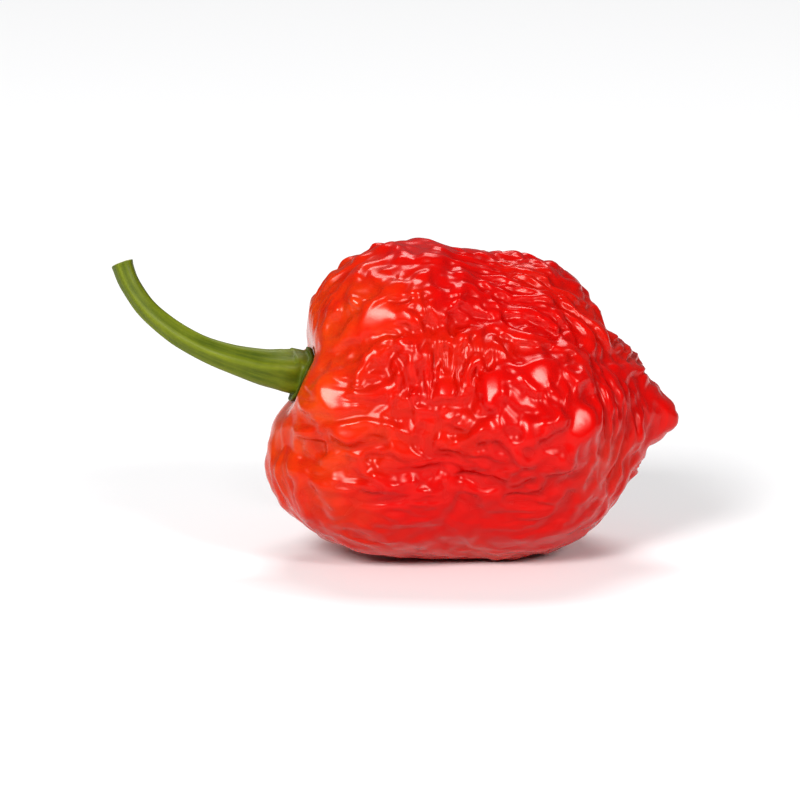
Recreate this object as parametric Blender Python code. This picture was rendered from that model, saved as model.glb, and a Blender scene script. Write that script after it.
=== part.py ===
"""A Carolina reaper pepper lying on its side, as picked.

Two solids make it: the red pod, with its lobes, folds, blisters and pointed tail, and the green stem,
whose stalk widens into the calyx that caps the pod. The stalk points to -X and the tail to +X, and the
pod rests on a small flat spot round the origin. Run it with: blender --background --python part.py
"""

import math

import bmesh
import bpy
from mathutils import Vector, noise

# All sizes below are in millimetres, and MM turns them into Blender's metres.
MM = 0.001

# The pod is a blend of egg-shaped lobes round this middle point: centre and radii of each.
POD_MIDDLE = Vector((0.0, 0.0, 13.7))
LOBES = {
    "core": ((0.0, 0.0, 13.7), (15.0, 12.9, 13.0)),
    "top shoulder": ((-4.4, -1.8, 17.9), (10.4, 10.0, 10.3)),
    "lower shoulder": ((-5.6, -3.2, 10.4), (11.9, 9.8, 9.5)),
    "back shoulder": ((-5.4, 5.2, 12.6), (10.0, 9.0, 9.8)),
    "cheek": ((-8.0, -5.6, 14.6), (7.6, 7.2, 6.4)),
    "top flank": ((4.2, 0.8, 16.9), (8.8, 9.8, 9.6)),
    "front flank": ((4.2, -4.6, 13.2), (9.6, 9.6, 8.6)),
    "lower flank": ((3.8, -1.6, 9.6), (10.6, 10.0, 9.1)),
    "back flank": ((4.4, 5.4, 12.0), (9.0, 8.6, 9.4)),
    "blossom end": ((9.2, -0.4, 12.9), (7.4, 8.0, 7.8)),
    "underside": ((-0.6, -0.4, 9.2), (13.0, 10.5, 9.1)),
}
LOBE_BLEND = 0.40  # how softly two lobes meet in the fold between them

# Seat of the calyx: a dimple at the stem end.
SEAT_AXIS = Vector((-0.92, -0.32, 0.20)).normalized()
SEAT_POINT = Vector((-13.5, -2.8, 16.5))
SEAT_DEPTH = 2.6
SEAT_RADIUS = 4.6

# The tail, the short blunt sting at the blossom end.
TAIL_AXIS = Vector((1.0, -0.04, -0.06)).normalized()
TAIL_HEIGHT = 2.3
TAIL_RADIUS = 3.3
TAIL_ROUND = 0.30  # how blunt the tip is, as a share of the radius
TAIL_STEEPNESS = 1.2
TAIL_BEND = Vector((0.0, -0.2, -0.4))

# Wrinkled skin: rounded blisters, finer puckers, and rings that close round the tail.
BLISTER_SIZE = 4.4
BLISTER_HEIGHT = 0.62
BLISTER_WARP = 0.55  # how far their pattern is bent, in blister sizes
BLISTER_WARP_SIZE = 1.9  # width of one bend, in blister sizes
VALLEY_WIDTH = 0.7  # share of a blister's size over which it rises from its valley
MEAN_RISE = 0.6  # share of a blister's height at which the smooth pod lies
PUCKER_SIZE = 2.5
PUCKER_HEIGHT = 0.26
PUCKER_SHIFT = Vector((31.0, 7.0, 3.0))  # keeps the puckers' pattern apart from the blisters'
RING_SPACING = 2.1
RING_HEIGHT = 0.14
RING_REACH = 9.0
RING_FULL = 4.05  # nearer to the tail than this, the rings take over from the blisters
RING_RISE = (1.5, 3.5)  # the rings rise over this stretch from the tip
RING_WANDER = 1.3
RING_WANDER_SIZE = 5.0
SKIN_PER_RADIAN = 13.0  # length on the skin for one radian round the pod's middle

# Low on the pod, where it is pressed on the table, the wrinkles are weaker.
LOW_SHARE = 0.25
LOW_HEIGHTS = (0.5, 11.0)

# Long creases pressed into the skin: points along each, with its depth and half its width.
CREASES = {
    "left": (((-13.0, 8.0, 12.6), (-16.2, -0.5, 12.6), (-13.6, -7.4, 11.6), (-9.0, -11.2, 10.8)), 0.8, 1.2),
    "front": (((-13.0, -8.2, 12.0), (-6.0, -12.6, 10.4), (1.5, -13.4, 8.8), (8.5, -10.8, 7.2)), 0.55, 1.5),
    "upper": (((-11.5, -6.5, 20.6), (-5.5, -9.8, 21.6), (1.5, -9.6, 22.8), (7.0, -6.5, 23.0)), 0.45, 1.3),
    "top": (((-10.5, 3.0, 23.0), (-3.0, 4.6, 26.5), (5.0, 5.4, 25.5), (11.5, 3.0, 20.5)), 0.5, 1.4),
    "back": (((-13.5, 6.5, 14.5), (-6.0, 13.5, 13.5), (3.0, 14.2, 11.5), (10.5, 8.5, 11.5)), 0.8, 1.3),
    "blossom": (((11.6, -6.8, 17.0), (12.2, -1.0, 20.2), (11.8, 4.2, 19.0), (11.2, 8.2, 14.5)), 0.55, 1.0),
}
CREASE_STEPS = 14  # places at which a crease is measured from
CREASE_ENDS = 0.25  # share of its length over which a crease fades in at each end
CREASE_NEAR = 0.8  # cosine of the angle beyond which a crease isn't felt

# Mesh of the pod: a dense ball that is then thinned, which keeps the small folds sharp.
GRID_CUTS = 71
POD_TRIANGLES = 10400
SPOT_SINK = 0.5  # how far the soft pod is pressed flat where it rests
CUTTER_SIZE = 60.0

# The stem: points along the middle of the stalk, with its diameter at each.
STALK_ROUTE = (
    ((-14.45, -3.05, 16.85), 3.9),
    ((-15.0, -3.25, 16.9), 3.75),
    ((-15.8, -3.5, 17.1), 3.45),
    ((-17.4, -3.8, 17.45), 3.0),
    ((-19.8, -3.9, 18.15), 2.4),
    ((-22.4, -3.7, 19.1), 2.05),
    ((-24.9, -3.2, 20.5), 1.85),
    ((-27.0, -2.6, 22.25), 1.75),
    ((-28.5, -2.0, 24.25), 1.7),
    ((-29.2, -1.6, 26.0), 1.8),
)
STALK_SPANS = 5  # spans between two of those points
STALK_SIDES = 15
STALK_RIBS = 5
STALK_RIB_HEIGHT = 0.08  # share of the stalk's radius

CALYX_DIAMETER = 6.0
CALYX_THICKNESS = 0.6
CALYX_CROWN = 0.9  # extra thickness at the middle, where the stalk joins
CALYX_CROWN_EDGES = (0.35, 0.85)  # the crown slopes down between these shares of the radius
CALYX_RIM_POWER = 0.45  # below 1 makes the rim squarer than a ball's
CALYX_POINTS = 5
CALYX_POINT_LENGTH = 0.4
CALYX_GAP = 0.32  # clear space between calyx and pod
CALYX_SEGMENTS = 50
CALYX_RINGS = 18
CALM_EDGES = (0.72 * CALYX_DIAMETER, 1.26 * CALYX_DIAMETER)  # the wrinkles start between these distances

NOISE_SEED = 4  # fixes the wander of the wrinkles

SKIN_RED = (0.78, 0.012, 0.006, 1.0)
STEM_GREEN = (0.20, 0.27, 0.03, 1.0)


def smoothstep(low, high, value):
    """0 below low, 1 above high, and a smooth rise between them."""
    share = min(1.0, max(0.0, (value - low) / (high - low)))
    return share * share * (3.0 - 2.0 * share)


def lobe_reach(direction, centre, radii):
    """How far the pod's middle is from the far side of one lobe, or 0 where the direction misses it."""
    across = Vector(d / r for d, r in zip(direction, radii))
    start = Vector((c - m) / r for c, m, r in zip(centre, POD_MIDDLE, radii))
    along = across.dot(start)
    inside = along * along - across.length_squared * (start.length_squared - 1.0)
    return (along + math.sqrt(inside)) / across.length_squared if inside > 0.0 else 0.0


def blended(reaches):
    """The largest reach, rounded off where two are close, so that lobes meet in a soft fold."""
    top = max(reaches)
    return top + LOBE_BLEND * math.log(sum(math.exp((reach - top) / LOBE_BLEND) for reach in reaches))


def seat_distance(point):
    """Distance of a point on the stem side from the seat's axis."""
    offset = point - SEAT_POINT
    return (offset - SEAT_AXIS * offset.dot(SEAT_AXIS)).length


def smooth_pod_point(direction):
    """The point of the unwrinkled pod in a direction from its middle."""
    reach = blended([lobe_reach(direction, centre, radii) for centre, radii in LOBES.values()])
    point = POD_MIDDLE + direction * reach
    if direction.dot(SEAT_AXIS) > 0.0:
        share = seat_distance(point) / SEAT_RADIUS
        point -= direction * SEAT_DEPTH * math.exp(-share * share)
    return point


def route_point(places, step):
    """A point on the smooth curve through places, at a step counted in places."""
    first = min(int(step), len(places) - 2)
    share = step - first
    before, start = places[max(first - 1, 0)], places[first]
    end, after = places[first + 1], places[min(first + 2, len(places) - 1)]
    return 0.5 * (
        2.0 * start
        + (end - before) * share
        + (2.0 * before - 5.0 * start + 4.0 * end - after) * share**2
        + (3.0 * start - before - 3.0 * end + after) * share**3
    )


def crease_runs():
    """Each crease as directions from the pod's middle, with its depth and half its width as an angle."""
    runs = []
    for corners, depth, half_width in CREASES.values():
        places = [Vector(corner) - POD_MIDDLE for corner in corners]
        last = len(places) - 1
        line = [route_point(places, last * n / CREASE_STEPS) for n in range(CREASE_STEPS + 1)]
        runs.append(([place.normalized() for place in line], depth, half_width / line[0].length))
    return runs


CREASE_RUNS = crease_runs()


def creased(direction):
    """How deep the long creases press the skin in a direction from the pod's middle."""
    depth = 0.0
    for line, deepest, half_width in CREASE_RUNS:
        nearest, step = max((direction.dot(place), n) for n, place in enumerate(line))
        if nearest < CREASE_NEAR:
            continue
        apart = math.inf
        for start, end in zip(line[max(0, step - 1) : step + 1], line[max(1, step) : step + 2]):
            run = end - start
            share = min(1.0, max(0.0, (direction - start).dot(run) / run.length_squared))
            apart = min(apart, (direction - start - run * share).length)
        from_end = min(step, CREASE_STEPS - step) / CREASE_STEPS
        fade = min(1.0, from_end / CREASE_ENDS)
        depth += deepest * fade * math.exp(-((apart / half_width) ** 2))
    return depth


def blisters(point, size):
    """Rounded blisters with soft valleys between them, from 0 in a valley to about 1."""
    bent = point / size + noise.noise_vector(point / (BLISTER_WARP_SIZE * size)) * BLISTER_WARP
    near, next_near = noise.voronoi(bent)[0][:2]
    share = min(1.0, (next_near - near) / VALLEY_WIDTH)
    return share * (2.0 - share)


def wrinkle_height(point, direction):
    """How far the skin stands out from the smooth pod."""
    calm = 1.0
    if direction.dot(SEAT_AXIS) > 0.0:
        calm = smoothstep(*CALM_EDGES, seat_distance(point))
    to_tail = math.acos(max(-1.0, min(1.0, direction.dot(TAIL_AXIS)))) * SKIN_PER_RADIAN
    ringed = 1.0 - smoothstep(RING_FULL, RING_REACH, to_tail)
    drift = noise.noise(point / RING_WANDER_SIZE) * RING_WANDER
    rings = math.cos(math.tau * (to_tail + drift) / RING_SPACING)
    low = LOW_SHARE + (1.0 - LOW_SHARE) * smoothstep(*LOW_HEIGHTS, point.z)
    height = BLISTER_HEIGHT * (blisters(point, BLISTER_SIZE) - MEAN_RISE) * (1.0 - 0.5 * ringed)
    height += PUCKER_HEIGHT * (blisters(point + PUCKER_SHIFT, PUCKER_SIZE) - MEAN_RISE)
    height += RING_HEIGHT * rings * ringed * smoothstep(*RING_RISE, to_tail)
    return calm * (low * height - creased(direction))


def pod_point(direction):
    """The point of the finished pod's skin in a direction from its middle."""
    point = smooth_pod_point(direction)
    point = point + direction * wrinkle_height(point, direction)
    offset = point - POD_MIDDLE
    from_axis = (offset - TAIL_AXIS * offset.dot(TAIL_AXIS)).length / TAIL_RADIUS
    if direction.dot(TAIL_AXIS) > 0.0 and from_axis < 1.0:
        blunt = (1.0 - math.hypot(from_axis, TAIL_ROUND)) / (1.0 - TAIL_ROUND)
        rise = max(0.0, blunt) ** TAIL_STEEPNESS
        point += TAIL_AXIS * TAIL_HEIGHT * rise + TAIL_BEND * rise * rise
    return point


def material(name, colour, roughness):
    made = bpy.data.materials.new(name)
    made.use_nodes = True
    shader = made.node_tree.nodes["Principled BSDF"]
    shader.inputs["Base Color"].default_value = colour
    shader.inputs["Roughness"].default_value = roughness
    shader.inputs["Metallic"].default_value = 0.0
    return made


def add_object(name, mesh, collection):
    made = bpy.data.objects.new(name, mesh)
    collection.objects.link(made)
    return made


def build_pod(collection, cutters):
    """The pod: a cube blown up to a ball, its skin set by the formulas above, thinned, and flat where it rests."""
    shape = bmesh.new()
    bmesh.ops.create_cube(shape, size=2.0)
    bmesh.ops.subdivide_edges(shape, edges=shape.edges[:], cuts=GRID_CUTS, use_grid_fill=True)
    for vertex in shape.verts:
        even = Vector(math.tan(c * math.pi / 4.0) for c in vertex.co)
        vertex.co = (pod_point(even.normalized()) - Vector((0.0, 0.0, SPOT_SINK))) * MM
    triangles = 2 * len(shape.faces)
    mesh = bpy.data.meshes.new("pod")
    shape.to_mesh(mesh)
    shape.free()
    mesh.shade_smooth()
    mesh.materials.append(material("pepper_skin", SKIN_RED, 0.25))
    pod = add_object("pod", mesh, collection)

    thinned = pod.modifiers.new("thin the mesh", "DECIMATE")
    thinned.ratio = POD_TRIANGLES / triangles

    bpy.ops.mesh.primitive_cube_add(size=CUTTER_SIZE * MM, location=(0.0, 0.0, -0.5 * CUTTER_SIZE * MM))
    table = bpy.context.active_object
    table.name = "table_cutter"
    table.display_type = "WIRE"
    table.hide_render = True
    for owner in list(table.users_collection):
        owner.objects.unlink(table)
    cutters.objects.link(table)

    flat_spot = pod.modifiers.new("flat spot", "BOOLEAN")
    flat_spot.operation = "DIFFERENCE"
    flat_spot.object = table
    return pod


def build_calyx():
    """The calyx as a mesh: a flattened ball, draped over the seat, with small points round its rim."""
    side = SEAT_AXIS.cross(Vector((0.0, 0.0, 1.0))).normalized()
    up = side.cross(SEAT_AXIS).normalized()
    shape = bmesh.new()
    bmesh.ops.create_uvsphere(shape, u_segments=CALYX_SEGMENTS, v_segments=CALYX_RINGS, radius=1.0)
    for vertex in shape.verts:
        angle = math.atan2(vertex.co.y, vertex.co.x)
        spread = math.hypot(vertex.co.x, vertex.co.y)
        points = (0.5 + 0.5 * math.cos(CALYX_POINTS * angle)) ** 2
        radius = (0.5 * CALYX_DIAMETER + CALYX_POINT_LENGTH * (points - 0.5)) * spread
        flat = SEAT_POINT + side * radius * math.cos(angle) + up * radius * math.sin(angle)
        direction = (flat - POD_MIDDLE).normalized()
        face = math.copysign(abs(vertex.co.z) ** CALYX_RIM_POWER, vertex.co.z)
        lift = CALYX_GAP + 0.5 * CALYX_THICKNESS * (1.0 + face)
        if vertex.co.z > 0.0:
            lift += CALYX_CROWN * (1.0 - smoothstep(*CALYX_CROWN_EDGES, spread))
        vertex.co = (smooth_pod_point(direction) + direction * lift - Vector((0.0, 0.0, SPOT_SINK))) * MM
    mesh = bpy.data.meshes.new("calyx")
    bmesh.ops.recalc_face_normals(shape, faces=shape.faces[:])
    shape.to_mesh(mesh)
    shape.free()
    return mesh


def build_stalk():
    """The stalk as a mesh: a curve with a ribbed section that widens towards the calyx."""
    section = bpy.data.curves.new("stalk_section", "CURVE")
    section.dimensions = "2D"
    outline = section.splines.new("POLY")
    sides = 2 * STALK_SIDES
    outline.points.add(sides - 1)
    for number, point in enumerate(outline.points):
        angle = math.tau * number / sides
        radius = 1.0 + STALK_RIB_HEIGHT * math.cos(STALK_RIBS * angle)
        point.co = (radius * math.cos(angle), radius * math.sin(angle), 0.0, 1.0)
    outline.use_cyclic_u = True
    section_object = bpy.data.objects.new("stalk_section", section)

    curve = bpy.data.curves.new("stalk", "CURVE")
    curve.dimensions = "3D"
    curve.bevel_mode = "OBJECT"
    curve.bevel_object = section_object
    curve.use_fill_caps = True
    line = curve.splines.new("POLY")
    steps = (len(STALK_ROUTE) - 1) * STALK_SPANS
    line.points.add(steps)
    places = [Vector(place) for place, _ in STALK_ROUTE]
    widths = [Vector((diameter, 0.0, 0.0)) for _, diameter in STALK_ROUTE]
    for number, point in enumerate(line.points):
        step = number / STALK_SPANS
        place = (route_point(places, step) - Vector((0.0, 0.0, SPOT_SINK))) * MM
        point.co = (*place, 1.0)
        point.radius = 0.5 * route_point(widths, step).x * MM
    stalk = bpy.data.objects.new("stalk", curve)
    bpy.context.scene.collection.objects.link(section_object)
    bpy.context.scene.collection.objects.link(stalk)
    graph = bpy.context.evaluated_depsgraph_get()
    mesh = bpy.data.meshes.new_from_object(stalk.evaluated_get(graph))
    bpy.data.objects.remove(stalk)
    bpy.data.objects.remove(section_object)

    shape = bmesh.new()
    shape.from_mesh(mesh)
    bmesh.ops.remove_doubles(shape, verts=shape.verts[:], dist=0.001 * MM)
    bmesh.ops.recalc_face_normals(shape, faces=shape.faces[:])
    shape.to_mesh(mesh)
    shape.free()
    return mesh


def build_stem(collection):
    """The stem: stalk and calyx joined in one body."""
    stem = add_object("stem", build_calyx(), collection)
    stalk = add_object("stalk", build_stalk(), collection)
    join = stem.modifiers.new("join the stalk", "BOOLEAN")
    join.operation = "UNION"
    join.object = stalk
    graph = bpy.context.evaluated_depsgraph_get()
    mesh = bpy.data.meshes.new_from_object(stem.evaluated_get(graph))
    stem.modifiers.clear()
    bpy.data.objects.remove(stalk)
    stem.data = mesh
    mesh.name = "stem"
    mesh.materials.clear()
    mesh.materials.append(material("green_stem", STEM_GREEN, 0.45))
    mesh.shade_smooth()
    return stem


def main():
    noise.seed_set(NOISE_SEED)
    for old in list(bpy.data.objects):
        bpy.data.objects.remove(old)
    pepper = bpy.data.collections.new("carolina_reaper_pepper")
    cutters = bpy.data.collections.new("cutters")
    bpy.context.scene.collection.children.link(pepper)
    bpy.context.scene.collection.children.link(cutters)
    build_pod(pepper, cutters)
    build_stem(pepper)


main()
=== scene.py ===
"""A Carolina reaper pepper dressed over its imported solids, on a plain pale stage.

The file is laid out as a Blender add-on and is run as a script. Its operators make the wrinkled skin of the
pod, the ribbed stalk with its calyx, and the stage with lights and camera. Lengths are in metres, in the
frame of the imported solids: +X runs from the stalk to the tail, and +Z is up.
"""

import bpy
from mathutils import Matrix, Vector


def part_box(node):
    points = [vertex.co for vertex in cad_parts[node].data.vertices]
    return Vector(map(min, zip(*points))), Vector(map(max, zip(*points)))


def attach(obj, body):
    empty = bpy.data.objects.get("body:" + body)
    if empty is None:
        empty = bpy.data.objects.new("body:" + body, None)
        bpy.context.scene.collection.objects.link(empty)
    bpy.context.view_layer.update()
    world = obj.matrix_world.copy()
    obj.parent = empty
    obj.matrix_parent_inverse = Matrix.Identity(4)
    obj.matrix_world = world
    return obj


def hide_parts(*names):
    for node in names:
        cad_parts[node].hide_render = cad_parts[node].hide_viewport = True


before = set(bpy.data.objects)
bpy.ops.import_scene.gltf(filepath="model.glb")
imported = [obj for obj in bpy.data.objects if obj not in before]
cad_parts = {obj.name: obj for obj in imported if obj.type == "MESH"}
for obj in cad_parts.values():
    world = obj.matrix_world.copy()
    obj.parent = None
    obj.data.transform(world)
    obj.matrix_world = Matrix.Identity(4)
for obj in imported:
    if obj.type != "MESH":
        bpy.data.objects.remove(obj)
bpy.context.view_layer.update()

import math

import bpy
import numpy as np
from mathutils import Vector, noise
from mathutils.bvhtree import BVHTree

bl_info = {
    "name": "Carolina reaper pepper",
    "version": (1, 0, 0),
    "blender": (4, 5, 0),
    "location": "View3D > Sidebar > Pepper",
    "description": "Wrinkled skin, stem and stage for a Carolina reaper pepper",
    "category": "Object",
}

MM = 0.001
WELD = 0.001 * MM  # loose corners of the solids closer than this are one

POD_MIDDLE = Vector((0.0, 0.0, 13.2)) * MM
BALL_RADIUS = 26.0 * MM  # starts outside the pod, so that the skin shrinks on to it
BALL_LEVELS = 7
SKIN_SMOOTHING = 12

SEAT_POINT = Vector((-13.5, -2.8, 16.0)) * MM
SEAT_AXIS = Vector((-0.92, -0.32, 0.20)).normalized()
TAIL_AXIS = Vector((1.0, -0.04, -0.06)).normalized()
ANGLE_TO_LENGTH = 13.5 * MM  # length on the skin for one radian round the pod's middle

# Stretches of skin where the ridges run one way: place, direction, reach and strength.
RIDGE_GUIDES = (
    ((4.0, -4.0, 26.0), (1.0, 0.0, 0.0), 5.0, 1.3),
    ((-3.6, -12.0, 17.5), (0.0, 0.0, 1.0), 2.4, 1.1),
    ((12.0, -7.0, 14.0), (0.0, 0.0, 1.0), 4.0, 1.0),
    ((-6.0, -11.0, 5.5), (0.9, 0.0, -0.5), 5.5, 0.9),
    ((6.0, -10.5, 6.0), (1.0, 0.0, 0.25), 5.0, 0.8),
)
# Large smooth blisters: place, the way each is longest, half its length and width, and how its face turns.
SMOOTH_BLISTERS = (
    ((-7.9, -9.7, 21.9), (1.0, 0.0, 0.25), 3.2, 1.5, (0.17, -0.09, -0.08)),
    ((-11.5, -11.3, 16.0), (0.7, -0.3, -0.5), 2.3, 1.7, (0.29, -0.10, 0.03)),
    ((-9.9, -12.5, 12.6), (1.0, 0.0, 0.45), 2.4, 1.0, (0.10, 0.0, 0.38)),
    ((-1.6, -12.4, 16.7), (0.2, 0.0, 1.0), 1.3, 1.0, (0.0, 0.0, 0.1)),
    ((2.2, -12.8, 17.2), (0.2, 0.0, 1.0), 1.8, 1.2, (-0.03, 0.0, -0.05)),
    ((6.3, -11.6, 18.0), (0.3, 0.0, 1.0), 2.2, 1.5, (0.0, -0.13, -0.27)),
    ((10.0, -12.1, 13.8), (0.5, -0.3, 1.0), 3.0, 1.7, (-0.30, -0.12, 0.17)),
    ((-3.0, 9.5, 21.0), (1.0, 0.0, 0.2), 2.4, 1.4, (0.0, 0.1, 0.1)),
    ((-9.5, 9.0, 17.0), (0.4, 0.0, 1.0), 2.0, 1.3, (0.0, 0.1, 0.1)),
    ((5.5, 11.0, 16.0), (0.3, 0.0, 1.0), 2.2, 1.3, (0.0, 0.1, 0.1)),
    ((0.5, 1.5, 26.0), (1.0, 0.4, 0.0), 2.2, 1.4, (0.0, 0.0, 0.0)),
    ((12.5, 3.0, 17.5), (0.0, 1.0, 0.2), 2.0, 1.2, (0.1, 0.0, 0.1)),
)
CAP_RISE = 0.16  # how far their middles stand out
CAP_ROUND = 13.0  # radius of their faces

# Which way the ridges run: in rings round the tail, in spokes from the seat, and in swirls everywhere.
RINGS_REACH, RINGS_PULL = 9.5 * MM, 1.9
SPOKES_REACH, SPOKES_PULL = 13.0 * MM, 1.5
SWIRL_SIZE, SWIRL_SHIFT = 6.5 * MM, 3.0
DRIFT_SIZE, DRIFT_SHIFT = 7.0 * MM, 9.0
ALONG_RIDGES = 1.8  # how much further values spread along the ridges than across them
# How ridges are grown: rounds, steps of the narrow blur and steps of the wide one.
FINE_RIDGES = (14, 6, 20)
BROAD_BLISTERS = (5, 34, 110)
SHARPENING = 2.2
RIDGE_FLATNESS = 1.5  # above 1 makes the ridges broad and the valleys narrow
# Where the wrinkles fade: lengths on the skin from the seat and the tail, and heights above the table.
SEAT_CALM = (3.2 * MM, 7.0 * MM)
TAIL_CALM, TAIL_SHARE = (1.0 * MM, 5.0 * MM), 0.50
LOW_CALM, LOW_SHARE = (3.0 * MM, 12.0 * MM), 0.36
BLISTER_CALM = 0.95  # how much smoother the large blisters are
SHOULDER_REACH = 9.5 * MM  # the orange blush fades out over this length from the seat

# Looks: patches a metre and contrast of each mottling.
SKIN_PATCHES = (260.0, 1.8)
BLUSH_PATCHES = (420.0, 1.3)
STALK_STREAKS = (2200.0, 2.2)
STALK_BLOTCHES = (420.0, 1.8)
STALK_FIBRES = (3800.0, 1.4)
FLOOR_PATCHES = (4.0, 1.0)
# How far the valleys and the low part of the skin go to the deep red as painted shade, and how far the random
# patches go to it.
VALLEY_PAINTED_SHADE, PATCH_DEPTH, LOW_PAINTED_SHADE = 0.42, 0.16, 0.15
# Painted shade under the pod fades out up to this height.
LOW_HEIGHT = 12.0 * MM
BLUSH_STRENGTH = 1.1
VALLEY_ROUGHNESS, PATCH_ROUGHNESS = 0.10, 0.08
PORES_A_METRE, PORE_STRENGTH = 2600.0, 0.08
# How far the streaks, the ribs and the blotches go to the pale green, less a part that stays green.
STREAK_PALE, RIB_PALE, BLOTCH_PALE, STAYS_GREEN = 0.55, 0.30, 0.35, 0.12
# How dark the painted shade under and round the calyx makes the green.
SHELTERED_SHADE = 0.42
STALK_ROUGHNESS, BLOTCH_ROUGHNESS, CUT_ROUGHNESS = 0.36, 0.14, 0.3
FIBRE_STRENGTH = 0.35
BUMP_DEPTH = 0.05 * MM
FLOOR_SHADE = 0.985
SKIN_SHADER = {
    "Specular IOR Level": 0.42,
    "Specular Tint": (1.0, 0.62, 0.56, 1.0),
    "Subsurface Weight": 0.08,
    "Subsurface Radius": (1.0, 0.12, 0.06),
    "Subsurface Scale": 1.2 * MM,
}
STALK_SHADER = {
    "Specular IOR Level": 0.25,
    "Subsurface Weight": 0.06,
    "Subsurface Radius": (0.6, 1.0, 0.2),
    "Subsurface Scale": 0.6 * MM,
}
FLOOR_SHADER = {"Roughness": 0.6, "Specular IOR Level": 0.2}

# The middle of the stalk and its diameter, as in the solids, from the calyx to the cut end.
STALK_ROUTE = (
    ((-14.45, -3.05, 16.35), 3.9),
    ((-15.0, -3.25, 16.4), 3.75),
    ((-15.8, -3.5, 16.6), 3.45),
    ((-17.4, -3.8, 16.95), 3.0),
    ((-19.8, -3.9, 17.65), 2.4),
    ((-22.4, -3.7, 18.6), 2.05),
    ((-24.9, -3.2, 20.0), 1.85),
    ((-27.0, -2.6, 21.75), 1.75),
    ((-28.5, -2.0, 23.75), 1.7),
    ((-29.2, -1.6, 25.5), 1.8),
)
STEM_SIDES = 60
RIB_TWIST = 0.12  # radians that the ribs turn from one place of the route to the next
CALYX_GAP = 0.10 * MM
CALYX_RIM = 0.42 * MM  # thickness of the rim
CALYX_POINTS = 5
CALYX_TURN = 0.7  # where round the seat the first point lies
CALYX_BODY = 0.88  # share of the radius that the points stand out from
CALYX_RISE = 0.75 * MM  # how far the calyx rises towards the stalk
CALYX_EDGE = 0.96  # share of the radius at which the rounded rim starts
ROUNDING = 12  # rings over which the corner between calyx and stalk is rounded
# The stalk swells a little where it leaves the calyx and at the cut: how much, where and over what stretch.
COLLAR_SWELL, COLLAR_STEP, COLLAR_SPREAD = 0.02, 0.2, 0.5
CUT_SWELL, CUT_SPREAD = 0.07, 0.22
DISH_DEPTH = 0.16 * MM  # of the dry middle of the cut face
FIBRE_RING, FIBRE_RUN = 1.5 * MM, 2.2 * MM  # round and along the stalk, for the pattern of its fibres
GRAINS_A_METRE, GRAIN_HEIGHT = 1400.0, 0.035 * MM
KNOBS_A_METRE, KNOB_HEIGHT = 420.0, 0.05 * MM
GRAIN_START = 12.0  # the grain is full after one part in this many of the stalk
FLOOR_SIZE = 6.0
CLIP_START, CLIP_END = 0.01, 20.0


def millimetres(name, description, default):
    """A length property whose default is given in millimetres."""
    return bpy.props.FloatProperty(
        name=name, description=description, default=default * MM, min=0.0, precision=5, unit="LENGTH"
    )


def colour(name, description, default):
    """A colour property."""
    return bpy.props.FloatVectorProperty(
        name=name, description=description, default=default, size=3, min=0.0, max=1.0, subtype="COLOR"
    )


def share(name, description, default):
    """A property that runs from 0 to 1."""
    return bpy.props.FloatProperty(
        name=name, description=description, default=default, min=0.0, max=1.0, subtype="FACTOR"
    )


class SkinSettings(bpy.types.PropertyGroup):
    """Sizes and colours of the pod's skin."""

    ridge_height: millimetres("Ridge height", "Height of the fine winding ridges", 0.13)
    blister_height: millimetres("Blister height", "Height of the broad smooth blisters", 0.30)
    seed: bpy.props.IntProperty(name="Seed", description="Picks another pattern of ridges", default=5)
    bright: colour("Bright red", "Colour of the ridges and blisters", (0.53, 0.002, 0.001))
    # Deep red: the painted shade in the creases and low on the pod, and the random darker patches.
    deep: colour("Deep red", "Colour in the creases and low on the pod", (0.34, 0.0, 0.0005))
    blush: colour("Orange blush", "Tint of the shoulders round the calyx", (0.63, 0.095, 0.006))
    gloss: share("Roughness", "Roughness of the waxy skin", 0.2)


class StemSettings(bpy.types.PropertyGroup):
    """Sizes and colours of the stalk and calyx."""

    ribs: bpy.props.IntProperty(name="Ribs", description="Ribs along the stalk", default=5, min=0)
    rib_height: share("Rib height", "Height of the ribs as a share of the radius", 0.05)
    calyx_diameter: millimetres("Calyx diameter", "Width of the calyx over its points", 5.5)
    green: colour("Green", "Main colour of the stalk", (0.046, 0.072, 0.0015))
    pale: colour("Pale green", "Colour of its raised ribs and streaks", (0.175, 0.205, 0.008))
    cut: colour("Cut end", "Colour of the dry cut face", (0.62, 0.56, 0.33))


class StageSettings(bpy.types.PropertyGroup):
    """Camera, lights and floor."""

    elevation: bpy.props.FloatProperty(
        name="Elevation", description="How far the camera looks down",
        default=math.radians(11.0), subtype="ANGLE",
    )
    distance: bpy.props.FloatProperty(
        name="Distance", description="From the camera to the pepper", default=0.5, unit="LENGTH"
    )
    lens: bpy.props.FloatProperty(name="Lens", description="Focal length in millimetres", default=262.0)
    surround: bpy.props.FloatProperty(
        name="Surround", description="Brightness of the room", default=0.18, min=0.0
    )
    floor: colour("Floor", "Colour of the floor", (0.92, 0.92, 0.925))


# Selection and mesh helpers


def deselect():
    """Nothing is selected or active."""
    if bpy.context.mode != "OBJECT":
        bpy.ops.object.mode_set(mode="OBJECT")
    bpy.ops.object.select_all(action="DESELECT")
    bpy.context.view_layer.objects.active = None


def pick(thing):
    """Only this object is selected, and it is active."""
    deselect()
    thing.select_set(True)
    bpy.context.view_layer.objects.active = thing


def finish_modifiers(thing):
    """Applies every modifier in order, and puts the object's place in its mesh."""
    pick(thing)
    for modifier in list(thing.modifiers):
        bpy.ops.object.modifier_apply(modifier=modifier.name)
    bpy.ops.object.transform_apply(location=True, rotation=True, scale=True)


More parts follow.
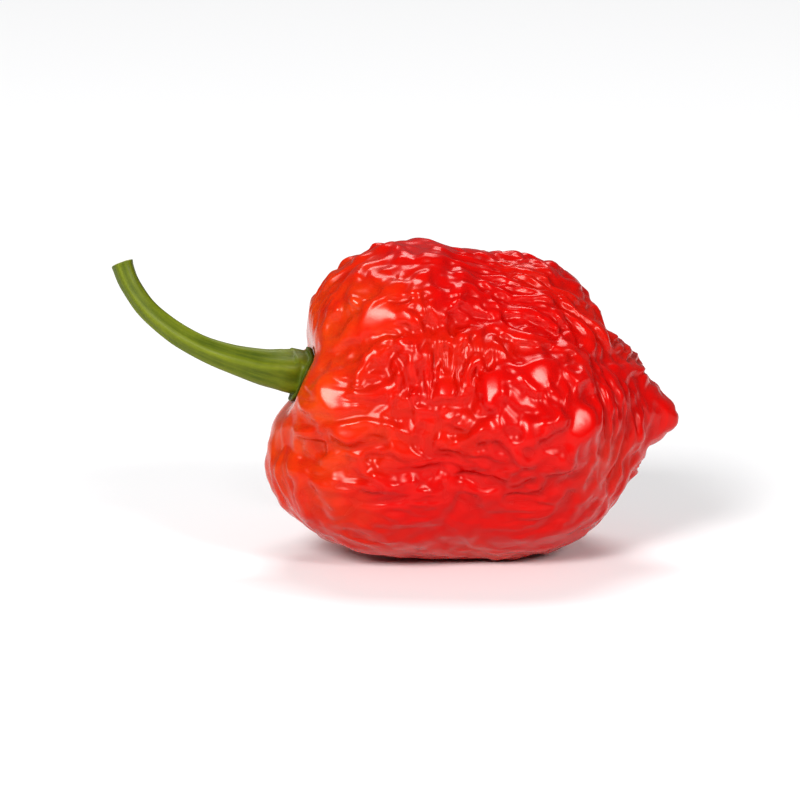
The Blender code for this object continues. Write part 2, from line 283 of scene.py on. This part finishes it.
def closed_copy(node):
    """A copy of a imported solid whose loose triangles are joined."""
    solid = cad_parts[node]
    copy = bpy.data.objects.new(node + "_guide", solid.data.copy())
    bpy.context.scene.collection.objects.link(copy)
    pick(copy)
    bpy.ops.object.mode_set(mode="EDIT")
    bpy.ops.mesh.select_all(action="SELECT")
    bpy.ops.mesh.remove_doubles(threshold=WELD)
    bpy.ops.object.mode_set(mode="OBJECT")
    return copy


def discard(thing):
    """Removes a helper object and its mesh."""
    mesh = thing.data
    bpy.data.objects.remove(thing)
    bpy.data.meshes.remove(mesh)


def points_of(mesh):
    """The corner points of a mesh as an array."""
    flat = np.empty(3 * len(mesh.vertices), np.float32)
    mesh.vertices.foreach_get("co", flat)
    return flat.reshape(-1, 3).astype(float)


def set_points(mesh, points):
    """Moves a mesh's corners."""
    mesh.vertices.foreach_set("co", points.astype(np.float32).ravel())
    mesh.update()


def normals_of(mesh):
    """The outward direction at each corner."""
    flat = np.empty(3 * len(mesh.vertices), np.float32)
    mesh.vertices.foreach_get("normal", flat)
    return flat.reshape(-1, 3).astype(float)


def keep_mask(mesh, name, values):
    """Stores one number a corner for the material to read."""
    layer = mesh.attributes.new(name, "FLOAT", "POINT")
    layer.data.foreach_set("value", np.clip(values, 0.0, 1.0).astype(np.float32))


def unit(rows):
    """Rows scaled to length one."""
    return rows / (np.linalg.norm(rows, axis=-1, keepdims=True) + 1e-12)


def ramp(low, high, values):
    """0 below low, 1 above high, smooth between."""
    share_up = np.clip((values - low) / (high - low), 0.0, 1.0)
    return share_up * share_up * (3.0 - 2.0 * share_up)


def wander(points, size, shift):
    """A smooth random vector at each point, with swirls of this size."""
    start = Vector((17.0, 5.0, 3.0)) * shift
    step = 1.0 / size
    rows = []
    for point in points:
        place = Vector(point) * step + start
        rows.append((
            noise.noise(place),
            noise.noise(place + Vector((31.4, 0.0, 0.0))),
            noise.noise(place + Vector((0.0, 47.2, 0.0))),
        ))
    return np.array(rows)


# The skin's wrinkles


class Neighbours:
    """Averages a value over the corners next to each corner, along edges of given weight."""

    def __init__(self, count, ends, weights):
        self.count = count
        self.first, self.second = ends
        self.weights = weights
        self.total = self.summed(self.first, weights) + self.summed(self.second, weights)

    def summed(self, corners, amounts):
        return np.bincount(corners, amounts, self.count)

    def __call__(self, values):
        there = self.summed(self.first, self.weights * values[self.second])
        back = self.summed(self.second, self.weights * values[self.first])
        return (there + back) / self.total


def ridge_directions(points, outward, from_tail, from_seat):
    """Which way the ridges run at each point; the length says how strongly."""
    rings = unit(np.cross(outward, TAIL_AXIS)) * np.clip(1.0 - from_tail / RINGS_REACH, 0.0, 1.0)[:, None]
    seat = np.array(SEAT_AXIS)
    spokes = unit(seat - outward * (outward @ seat)[:, None])
    spokes *= np.clip(1.0 - from_seat / SPOKES_REACH, 0.0, 1.0)[:, None]
    way = RINGS_PULL * rings + SPOKES_PULL * spokes + wander(points, SWIRL_SIZE, SWIRL_SHIFT)
    for place, direction, reach, strength in RIDGE_GUIDES:
        apart = np.linalg.norm(points - np.array(place) * MM, axis=1) / (reach * MM)
        sign = np.sign((way * direction).sum(1))[:, None]
        way += strength * np.exp(-(apart**2))[:, None] * sign * unit(np.array(direction))
    return way - outward * (way * outward).sum(1)[:, None]


def grown_ridges(spread, start, pace, rounds, narrow, wide):
    """Winding ridges grown from noise: each round blurs finely, takes off a broad blur and sharpens."""
    value = start
    for _ in range(rounds):
        fine = value
        for _ in range(narrow):
            fine = fine + pace * (spread(fine) - fine)
        broad = fine
        for _ in range(wide):
            broad = broad + pace * (spread(broad) - broad)
        value = fine - broad
        value = np.tanh(SHARPENING * value / value.std())
    for _ in range(max(2, narrow // 2)):
        value = value + 0.5 * (spread(value) - value)
    return value


def smooth_blisters(points, normals):
    """How far each corner is inside a large smooth blister, and its move on to that blister's cap."""
    smooth = np.zeros(len(points))
    move = np.zeros_like(points)
    for place, long_way, length, width, turn in SMOOTH_BLISTERS:
        offset = points / MM - place
        run = offset @ unit(np.array(long_way))
        aside = np.maximum((offset**2).sum(1) - run**2, 0.0)
        inside = np.exp(-(((run / length) ** 2 + aside / width**2) ** 2))
        share_in = inside / inside.sum()
        face = unit(share_in @ normals + turn)
        height = offset @ face
        sideways = (offset**2).sum(1) - height**2
        cap = share_in @ height + CAP_RISE - sideways / (2.0 * CAP_ROUND)
        smooth = np.maximum(smooth, inside)
        move += (inside * (cap - height) * MM)[:, None] * face
    return smooth, move


def wrinkle(mesh, settings):
    """Sets ridges and blisters into the skin, and stores what the material needs."""
    points = points_of(mesh)
    count = len(points)
    ends = np.empty(2 * len(mesh.edges), np.int32)
    mesh.edges.foreach_get("vertices", ends)
    ends = ends.reshape(-1, 2).T
    outward = unit(points - np.array(POD_MIDDLE))
    from_tail = np.arccos(np.clip(outward @ np.array(TAIL_AXIS), -1.0, 1.0)) * ANGLE_TO_LENGTH
    seat_way = unit(np.array(SEAT_POINT - POD_MIDDLE))
    from_seat = np.arccos(np.clip(outward @ seat_way, -1.0, 1.0)) * ANGLE_TO_LENGTH

    way = ridge_directions(points, outward, from_tail, from_seat)
    strength = np.linalg.norm(way, axis=1)
    way = unit(way)
    edge = unit(points[ends[1]] - points[ends[0]])
    along = 0.5 * (np.abs((edge * way[ends[0]]).sum(1)) + np.abs((edge * way[ends[1]]).sum(1)))
    firm = np.clip(0.5 * (strength[ends[0]] + strength[ends[1]]), 0.0, 1.0)
    spread = Neighbours(count, ends, np.exp(ALONG_RIDGES * firm * (2.0 * along - 1.0)))

    draw = np.random.default_rng(settings.seed)
    drift = wander(points, DRIFT_SIZE, DRIFT_SHIFT)
    pace = np.clip(0.52 + 0.4 * drift[:, 0], 0.25, 0.9)
    fine = grown_ridges(spread, draw.standard_normal(count), pace, *FINE_RIDGES)
    blister = grown_ridges(spread, draw.standard_normal(count), pace, *BROAD_BLISTERS)
    rounded = 1.0 - (0.5 * (1.0 - np.clip(fine, -1.0, 1.0))) ** RIDGE_FLATNESS
    crown = ramp(-0.6, 0.9, blister)

    calm = ramp(*SEAT_CALM, from_seat) * (TAIL_SHARE + (1.0 - TAIL_SHARE) * ramp(*TAIL_CALM, from_tail))
    calm *= LOW_SHARE + (1.0 - LOW_SHARE) * ramp(*LOW_CALM, points[:, 2])
    normals = normals_of(mesh)
    smooth, caps = smooth_blisters(points, normals)
    calm *= 1.0 - BLISTER_CALM * smooth
    patchy = 0.30 + 1.1 * ramp(-0.35, 0.35, drift[:, 1])
    plain_crowns = ramp(0.55, 0.9, crown) * ramp(-0.4, 0.2, drift[:, 2])
    ridge = settings.ridge_height * patchy * (1.0 - 0.9 * plain_crowns)
    lift = calm * (ridge * (rounded - 1.0) + settings.blister_height * (crown - 1.0))
    points = points + normals * lift[:, None] + caps
    low, high = (np.array(corner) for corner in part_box("pod"))
    set_points(mesh, np.clip(points, low, high))

    # Valley depth: the material paints shade in the creases from it, and makes the skin rougher there.
    valley = calm * (0.65 * (1.0 - rounded) + 0.35 * (1.0 - crown))
    keep_mask(mesh, "valley", 1.4 * valley)
    keep_mask(mesh, "shoulder", np.exp(-((from_seat / SHOULDER_REACH) ** 2)) + 0.25 * drift[:, 2])


# Materials


def start_material(name, values):
    """A new node material: its tree and its main shader, with the values that are the same all over."""
    made = bpy.data.materials.new(name)
    made.use_nodes = True
    shader = made.node_tree.nodes["Principled BSDF"]
    for socket, value in values.items():
        shader.inputs[socket].default_value = value
    return made, made.node_tree, shader


def fill(tree, socket, value):
    """Sets a socket to a value, or links it from a socket."""
    if isinstance(value, bpy.types.NodeSocket):
        tree.links.new(value, socket)
    else:
        socket.default_value = value


def add(tree, kind, values=None, **settings):
    """Adds a node, sets its plain settings, then its sockets: a value, or a socket to link from."""
    made = tree.nodes.new(kind)
    for name, value in settings.items():
        setattr(made, name, value)
    for name, value in (values or {}).items():
        fill(tree, made.inputs[name], value)
    return made


def opaque(rgb):
    """A colour with full alpha."""
    return (*rgb, 1.0)


def mixed(tree, mask, first, second):
    """A colour that goes from first to second as the mask goes from 0 to 1."""
    made = add(tree, "ShaderNodeMix", data_type="RGBA")
    for number, value in ((0, mask), (6, first), (7, second)):
        fill(tree, made.inputs[number], value)
    return made.outputs[2]


def maths(tree, operation, first, second=0.0, third=0.0, clamp=False):
    """One arithmetic step on values or sockets."""
    made = add(tree, "ShaderNodeMath", operation=operation, use_clamp=clamp)
    for socket, value in zip(made.inputs, (first, second, third)):
        fill(tree, socket, value)
    return made.outputs[0]


def mask_of(tree, name):
    """The value stored on the mesh under this name."""
    return add(tree, "ShaderNodeAttribute", attribute_name=name).outputs["Fac"]


def mottling_group():
    """Shared by skin and stalk: uneven patches of one size, as a mask from 0 to 1."""
    if "mottling" in bpy.data.node_groups:
        return bpy.data.node_groups["mottling"]
    group = bpy.data.node_groups.new("mottling", "ShaderNodeTree")
    group.interface.new_socket("Place", in_out="INPUT", socket_type="NodeSocketVector")
    patches = group.interface.new_socket("Patches a metre", in_out="INPUT", socket_type="NodeSocketFloat")
    patches.default_value = 300.0
    contrast = group.interface.new_socket("Contrast", in_out="INPUT", socket_type="NodeSocketFloat")
    contrast.default_value = 1.6
    group.interface.new_socket("Mask", in_out="OUTPUT", socket_type="NodeSocketFloat")
    put_in = group.nodes.new("NodeGroupInput")
    put_out = group.nodes.new("NodeGroupOutput")
    grain = add(group, "ShaderNodeTexNoise", {
        "Vector": put_in.outputs["Place"], "Scale": put_in.outputs["Patches a metre"],
        "Detail": 4.0, "Roughness": 0.6,
    })
    centred = maths(group, "SUBTRACT", grain.outputs["Fac"], 0.5)
    mask = maths(group, "MULTIPLY_ADD", centred, put_in.outputs["Contrast"], 0.5, clamp=True)
    group.links.new(mask, put_out.inputs["Mask"])
    return group


def mottling(tree, place, patches, contrast):
    """The shared mottling in one material, at its own scale."""
    made = add(tree, "ShaderNodeGroup", node_tree=mottling_group())
    tree.links.new(place, made.inputs["Place"])
    made.inputs["Patches a metre"].default_value = patches
    made.inputs["Contrast"].default_value = contrast
    return made.outputs["Mask"]


def skin_material(settings):
    """Waxy red skin: painted shade in the creases and underneath, orange round the calyx."""
    made, tree, shader = start_material("waxy_red_skin", SKIN_SHADER)
    place = add(tree, "ShaderNodeTexCoord").outputs["Object"]
    height = add(tree, "ShaderNodeSeparateXYZ", {"Vector": place}).outputs["Z"]
    valley = mask_of(tree, "valley")
    patches = mottling(tree, place, *SKIN_PATCHES)
    # Painted shade: darker towards the bottom and in the valleys; the patches are random tone.
    low = add(tree, "ShaderNodeMapRange", {
        "Value": height, "From Min": LOW_HEIGHT, "From Max": 0.0, "To Min": 0.0, "To Max": LOW_PAINTED_SHADE,
    }).outputs["Result"]
    painted_shade_and_patches = maths(tree, "MULTIPLY_ADD", valley, VALLEY_PAINTED_SHADE, low)
    painted_shade_and_patches = maths(tree, "MULTIPLY_ADD", patches, PATCH_DEPTH, painted_shade_and_patches, clamp=True)
    red = mixed(tree, painted_shade_and_patches, opaque(settings.bright), opaque(settings.deep))
    blush = maths(tree, "MULTIPLY", mask_of(tree, "shoulder"), mottling(tree, place, *BLUSH_PATCHES))
    blush = maths(tree, "MULTIPLY", blush, BLUSH_STRENGTH, clamp=True)
    tree.links.new(mixed(tree, blush, red, opaque(settings.blush)), shader.inputs["Base Color"])

    rough = maths(tree, "MULTIPLY_ADD", valley, VALLEY_ROUGHNESS, settings.gloss - 0.5 * PATCH_ROUGHNESS)
    rough = maths(tree, "MULTIPLY_ADD", patches, PATCH_ROUGHNESS, rough)
    tree.links.new(rough, shader.inputs["Roughness"])
    pores = add(tree, "ShaderNodeTexNoise", {"Vector": place, "Scale": PORES_A_METRE, "Detail": 3.0})
    bump = add(tree, "ShaderNodeBump", {
        "Strength": PORE_STRENGTH, "Distance": BUMP_DEPTH, "Height": pores.outputs["Fac"],
    })
    tree.links.new(bump.outputs["Normal"], shader.inputs["Normal"])
    return made


def stalk_material(settings):
    """Fibrous green stalk with paler ribs, and a dry pale cut end."""
    made, tree, shader = start_material("fibrous_green_stalk", STALK_SHADER)
    place = add(tree, "ShaderNodeTexCoord").outputs["Object"]
    fibre = add(tree, "ShaderNodeAttribute", attribute_name="fibre").outputs["Vector"]
    cut = mask_of(tree, "cut")
    streaks = mottling(tree, fibre, *STALK_STREAKS)
    blotches = mottling(tree, place, *STALK_BLOTCHES)
    pale = maths(tree, "MULTIPLY_ADD", mask_of(tree, "rib"), RIB_PALE, -STAYS_GREEN)
    pale = maths(tree, "MULTIPLY_ADD", streaks, STREAK_PALE, pale)
    pale = maths(tree, "MULTIPLY_ADD", blotches, BLOTCH_PALE, pale, clamp=True)
    green = mixed(tree, pale, opaque(settings.green), opaque(settings.pale))
    # Painted shade: the green darkens under the calyx and over its rim.
    painted_shade_green = tuple(SHELTERED_SHADE * c for c in settings.green)
    green = mixed(tree, mask_of(tree, "calyx_painted_shade"), green, opaque(painted_shade_green))
    tree.links.new(mixed(tree, cut, green, opaque(settings.cut)), shader.inputs["Base Color"])
    rough = maths(tree, "MULTIPLY_ADD", blotches, BLOTCH_ROUGHNESS, STALK_ROUGHNESS)
    rough = maths(tree, "MULTIPLY_ADD", cut, CUT_ROUGHNESS, rough)
    tree.links.new(rough, shader.inputs["Roughness"])
    fine = mottling(tree, fibre, *STALK_FIBRES)
    bump = add(tree, "ShaderNodeBump", {"Strength": FIBRE_STRENGTH, "Distance": BUMP_DEPTH, "Height": fine})
    tree.links.new(bump.outputs["Normal"], shader.inputs["Normal"])
    return made


def floor_material(settings):
    """Plain pale matte floor with a very slight unevenness."""
    made, tree, shader = start_material("pale_floor", FLOOR_SHADER)
    place = add(tree, "ShaderNodeTexCoord").outputs["Object"]
    uneven = mottling(tree, place, *FLOOR_PATCHES)
    shade = tuple(FLOOR_SHADE * c for c in settings.floor)
    tree.links.new(mixed(tree, uneven, opaque(settings.floor), opaque(shade)), shader.inputs["Base Color"])
    return made


# The stalk and calyx


def along_route(places, step):
    """A point on the smooth curve through places, at a step counted in places."""
    first = min(int(step), len(places) - 2)
    part = step - first
    before, start = places[max(first - 1, 0)], places[first]
    end, after = places[first + 1], places[min(first + 2, len(places) - 1)]
    return 0.5 * (
        2.0 * start
        + (end - before) * part
        + (2.0 * before - 5.0 * start + 4.0 * end - after) * part**2
        + (3.0 * start - before - 3.0 * end + after) * part**3
    )


def cross_frame(axis):
    """Two directions across an axis, the first as near +Y as can be."""
    side = (Vector((0.0, 1.0, 0.0)) - axis * axis.y).normalized()
    return side, axis.cross(side)


class StemShape:
    """Rings of points from under the calyx, over its rim, along the stalk and over the cut end."""

    UNDER, RIM, TOP, STALK, END = 9, 6, 12, 112, 10

    def __init__(self, settings, pod):
        self.settings = settings
        self.ground = BVHTree.FromObject(pod, bpy.context.evaluated_depsgraph_get())
        self.places = [Vector(place) * MM for place, _ in STALK_ROUTE]
        self.widths = [Vector((diameter * MM, 0.0, 0.0)) for _, diameter in STALK_ROUTE]
        self.rings = self.UNDER + self.RIM + self.TOP + self.STALK + self.END

    def draped(self, angle, reach, lift):
        """A point above the pod, at a distance from the seat's axis."""
        side, up = cross_frame(SEAT_AXIS)
        turned = CALYX_POINTS * angle + CALYX_TURN + 0.9 * math.sin(2.0 * angle + 1.0) + 0.5 * math.sin(angle)
        teeth = (1.0 - abs(math.sin(0.5 * turned))) ** 1.3 * (0.75 + 0.25 * math.sin(3.0 * angle + 2.0))
        uneven = 0.02 * math.sin(2.0 * angle + 1.0) + 0.015 * math.sin(7.0 * angle)
        outer = CALYX_BODY + ((1.0 - CALYX_BODY) * teeth + uneven) * reach**2
        radius = 0.5 * self.settings.calyx_diameter * reach * outer
        start = SEAT_POINT + (side * math.cos(angle) + up * math.sin(angle)) * radius + SEAT_AXIS * 9.0 * MM
        hit = self.ground.ray_cast(start, -SEAT_AXIS)[0]
        return hit + SEAT_AXIS * lift

    def tube(self, angle, step, swell):
        """A point on the stalk at a step of its route."""
        last = len(self.places) - 1
        step = min(max(step, 0.0), last)
        centre = along_route(self.places, step)
        ahead, behind = min(step + 0.05, last), max(step - 0.05, 0.0)
        axis = (along_route(self.places, ahead) - along_route(self.places, behind)).normalized()
        side, up = cross_frame(axis)
        radius = 0.5 * along_route(self.widths, step).x * swell
        turned = angle + RIB_TWIST * step
        radius *= 1.0 + self.settings.rib_height * math.cos(self.settings.ribs * turned)
        return centre + (side * math.cos(angle) + up * math.sin(angle)) * radius, axis

    def point(self, ring, angle):
        """Place and masks of one corner: how far along it is, its cut and its painted shade."""
        # The last value is painted shade: full under the calyx, fading over its rim and top, none on the
        # stalk.
        if ring <= self.UNDER:
            return self.draped(angle, CALYX_EDGE * ring / self.UNDER, CALYX_GAP), 0.0, 0.0, 1.0
        ring -= self.UNDER
        if ring <= self.RIM:
            turn = math.pi * ring / self.RIM
            reach = CALYX_EDGE + (1.0 - CALYX_EDGE) * math.sin(turn)
            lift = CALYX_GAP + CALYX_RIM * 0.5 * (1.0 - math.cos(turn))
            return self.draped(angle, reach, lift), 0.0, 0.0, 1.0 - 0.6 * ring / self.RIM
        ring -= self.RIM
        if ring <= self.TOP:
            inward = ring / self.TOP
            reach = CALYX_EDGE - 0.30 * inward
            ribbed = 0.10 * MM * math.cos(CALYX_POINTS * angle + CALYX_TURN) * (1.0 - inward)
            lift = CALYX_GAP + CALYX_RIM + CALYX_RISE * inward**2 + ribbed
            start, _ = self.tube(angle, 0.0, 1.0 + COLLAR_SWELL)
            meet = ramp(0.45, 1.0, inward)
            return self.draped(angle, reach, lift).lerp(start, float(meet)), 0.0, 0.0, 0.4 - 0.3 * inward
        ring -= self.TOP
        last = len(self.places) - 1
        if ring <= self.STALK:
            step = last * ring / self.STALK
            collar = COLLAR_SWELL * math.exp(-(((step - COLLAR_STEP) / COLLAR_SPREAD) ** 2))
            flare = CUT_SWELL * math.exp(-(((step - last) / CUT_SPREAD) ** 2))
            place, _ = self.tube(angle, step, 1.0 + collar + flare)
            return place, step / last, 0.0, 0.0
        ring -= self.STALK
        inward = ring / self.END
        place, axis = self.tube(angle, last, (1.0 + CUT_SWELL) * (1.0 - inward) ** 0.8)
        edge = 0.12 * MM * math.sin(math.pi * min(1.0, inward * 1.6))
        dish = edge - DISH_DEPTH * ramp(0.25, 1.0, inward)
        return place + axis * (dish - 0.06 * MM), 1.0, float(ramp(0.02, 0.25, inward)), 0.0

    def rounded_point(self, ring, angle):
        """As point, with the corner between calyx and stalk rounded off along the profile."""
        place, *masks = self.point(ring, angle)
        rim = self.UNDER + self.RIM
        reach = int(min(ROUNDING, ROUNDING + 4 - 0.9 * abs(ring - rim - self.TOP)))
        if ring > rim and reach > 0:
            near = range(max(rim, ring - reach), ring + reach + 1)
            weights = [reach + 1 - abs(each - ring) for each in near]
            places = (self.point(each, angle)[0] * weight for each, weight in zip(near, weights))
            place = sum(places, Vector()) / sum(weights)
        return place, *masks


def shape_stem(stem, settings, pod):
    """Turns a ball of rings into calyx and stalk, and stores what the material needs."""
    shape = StemShape(settings, pod)
    mesh = stem.data
    ball = unit(points_of(mesh))
    rings = np.rint(np.arccos(np.clip(ball[:, 2], -1.0, 1.0)) / math.pi * shape.rings).astype(int)
    angles = np.arctan2(ball[:, 1], ball[:, 0])
    places, masks, fibres = [], [], []
    for ring, angle in zip(rings.tolist(), angles.tolist()):
        place, run, cut, painted_shade = shape.rounded_point(ring, angle)
        places.append(place)
        turned = angle + RIB_TWIST * (len(STALK_ROUTE) - 1) * run
        masks.append((run, cut, painted_shade, 0.5 + 0.5 * math.cos(settings.ribs * turned)))
        fibres.append((math.cos(angle) * FIBRE_RING, math.sin(angle) * FIBRE_RING, FIBRE_RUN * run))
    set_points(mesh, np.array([tuple(place) for place in places]))
    masks = np.array(masks)
    body = 1.0 - masks[:, 1]
    grain = GRAIN_HEIGHT * np.array([noise.noise(Vector(row) * GRAINS_A_METRE) for row in fibres])
    knobs = KNOB_HEIGHT * np.array([noise.noise(place * KNOBS_A_METRE) for place in places])
    lift = body * np.clip(masks[:, 0] * GRAIN_START, 0.0, 1.0) * (grain + knobs)
    points = points_of(mesh) + normals_of(mesh) * lift[:, None]
    low, high = (np.array(corner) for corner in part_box("stem"))
    set_points(mesh, np.clip(points, low, high))
    keep_mask(mesh, "cut", masks[:, 1])
    # Painted shade under and round the calyx.
    keep_mask(mesh, "calyx_painted_shade", masks[:, 2])
    keep_mask(mesh, "rib", masks[:, 3])
    layer = mesh.attributes.new("fibre", "FLOAT_VECTOR", "POINT")
    layer.data.foreach_set("vector", np.array(fibres, np.float32).ravel())


# Operators


class PEPPER_OT_skin(bpy.types.Operator):
    """Make the pod's wrinkled skin over its solid"""

    bl_idname = "pepper.skin"
    bl_label = "Wrinkled skin"

    def execute(self, context):
        settings = context.scene.pepper_skin
        guide = closed_copy("pod")
        deselect()
        bpy.ops.mesh.primitive_cube_add(size=2.0 * BALL_RADIUS, location=POD_MIDDLE)
        skin = context.active_object
        skin.name = skin.data.name = "wrinkled_skin"
        finer = skin.modifiers.new("finer", "SUBSURF")
        finer.levels = finer.render_levels = BALL_LEVELS
        ball = skin.modifiers.new("ball", "CAST")
        ball.factor = 1.0
        ball.size = BALL_RADIUS
        ball.use_radius_as_size = False
        shrink = skin.modifiers.new("shrink", "SHRINKWRAP")
        shrink.target = guide
        shrink.wrap_method = "PROJECT"
        shrink.use_negative_direction = True
        shrink.use_positive_direction = False
        soften = skin.modifiers.new("soften", "SMOOTH")
        soften.factor = 0.5
        soften.iterations = SKIN_SMOOTHING
        finish_modifiers(skin)
        wrinkle(skin.data, settings)
        bpy.ops.object.shade_smooth()
        skin.data.materials.append(skin_material(settings))
        discard(guide)
        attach(skin, "root")
        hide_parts("pod")
        return {"FINISHED"}


class PEPPER_OT_stem(bpy.types.Operator):
    """Make the ribbed stalk and the calyx that it widens into"""

    bl_idname = "pepper.stem"
    bl_label = "Stalk and calyx"

    def execute(self, context):
        settings = context.scene.pepper_stem
        guide = closed_copy("pod")
        rings = StemShape(settings, guide).rings
        deselect()
        bpy.ops.mesh.primitive_uv_sphere_add(segments=STEM_SIDES, ring_count=rings, radius=10.0 * MM)
        stem = context.active_object
        stem.name = stem.data.name = "stalk_and_calyx"
        shape_stem(stem, settings, guide)
        pick(stem)
        bpy.ops.object.mode_set(mode="EDIT")
        bpy.ops.mesh.select_all(action="SELECT")
        bpy.ops.mesh.normals_make_consistent(inside=False)
        bpy.ops.object.mode_set(mode="OBJECT")
        bpy.ops.object.shade_smooth()
        stem.data.materials.append(stalk_material(settings))
        discard(guide)
        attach(stem, "root")
        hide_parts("stem")
        return {"FINISHED"}


class PEPPER_OT_stage(bpy.types.Operator):
    """Set up the floor, the soft lights and the camera"""

    bl_idname = "pepper.stage"
    bl_label = "Stage"

    TARGET = Vector((-5.5, 0.0, 13.3)) * MM
    # Soft boxes: place, width, height, power in watts.
    LIGHTS = (
        ((-0.45, -0.95, 0.62), 0.44, 0.40, 12.5),
        ((0.60, -0.80, 0.52), 0.28, 0.26, 5.4),
        ((0.00, 0.55, 1.05), 0.60, 0.40, 5.6),
    )

    def execute(self, context):
        settings = context.scene.pepper_stage
        deselect()
        bpy.ops.mesh.primitive_plane_add(size=FLOOR_SIZE)
        floor = context.active_object
        floor.name = floor.data.name = "floor"
        floor.data.materials.append(floor_material(settings))

        for number, (place, width, height, power) in enumerate(self.LIGHTS):
            bpy.ops.object.light_add(type="AREA", location=place)
            light = context.active_object
            light.name = f"soft_box_{number + 1}"
            light.data.shape = "RECTANGLE"
            light.data.size = width
            light.data.size_y = height
            light.data.energy = power
            light.rotation_euler = (self.TARGET - Vector(place)).to_track_quat("-Z", "Y").to_euler()

        world = bpy.data.worlds.new("pale_room")
        world.use_nodes = True
        world.node_tree.nodes["Background"].inputs["Color"].default_value = (1.0, 1.0, 1.0, 1.0)
        world.node_tree.nodes["Background"].inputs["Strength"].default_value = settings.surround
        context.scene.world = world
        context.scene.view_settings.view_transform = "Standard"
        context.scene.view_settings.look = "Medium High Contrast"

        away = Vector((0.0, -math.cos(settings.elevation), math.sin(settings.elevation)))
        bpy.ops.object.camera_add(location=self.TARGET + away * settings.distance)
        camera = context.active_object
        camera.rotation_euler = (-away).to_track_quat("-Z", "Y").to_euler()
        camera.data.lens = settings.lens
        camera.data.clip_start = CLIP_START
        camera.data.clip_end = CLIP_END
        context.scene.camera = camera
        return {"FINISHED"}


class PEPPER_PT_panel(bpy.types.Panel):
    """Lists the steps and their settings"""

    bl_label = "Carolina reaper pepper"
    bl_idname = "PEPPER_PT_panel"
    bl_space_type = "VIEW_3D"
    bl_region_type = "UI"
    bl_category = "Pepper"

    def draw(self, context):
        for operator, group in STEPS:
            box = self.layout.box()
            box.operator(operator)
            settings = getattr(context.scene, group)
            for name in settings.__annotations__:
                box.prop(settings, name)


STEPS = (("pepper.skin", "pepper_skin"), ("pepper.stem", "pepper_stem"), ("pepper.stage", "pepper_stage"))
GROUPS = (("pepper_skin", SkinSettings), ("pepper_stem", StemSettings), ("pepper_stage", StageSettings))
CLASSES = (
    SkinSettings, StemSettings, StageSettings,
    PEPPER_OT_skin, PEPPER_OT_stem, PEPPER_OT_stage, PEPPER_PT_panel,
)


def register():
    for each in CLASSES:
        bpy.utils.register_class(each)
    for name, group in GROUPS:
        setattr(bpy.types.Scene, name, bpy.props.PointerProperty(type=group))


def unregister():
    for name, _ in GROUPS:
        delattr(bpy.types.Scene, name)
    for each in reversed(CLASSES):
        bpy.utils.unregister_class(each)


def main():
    register()
    bpy.ops.pepper.skin()
    bpy.ops.pepper.stem()
    bpy.ops.pepper.stage()


if __name__ == "__main__":
    main()
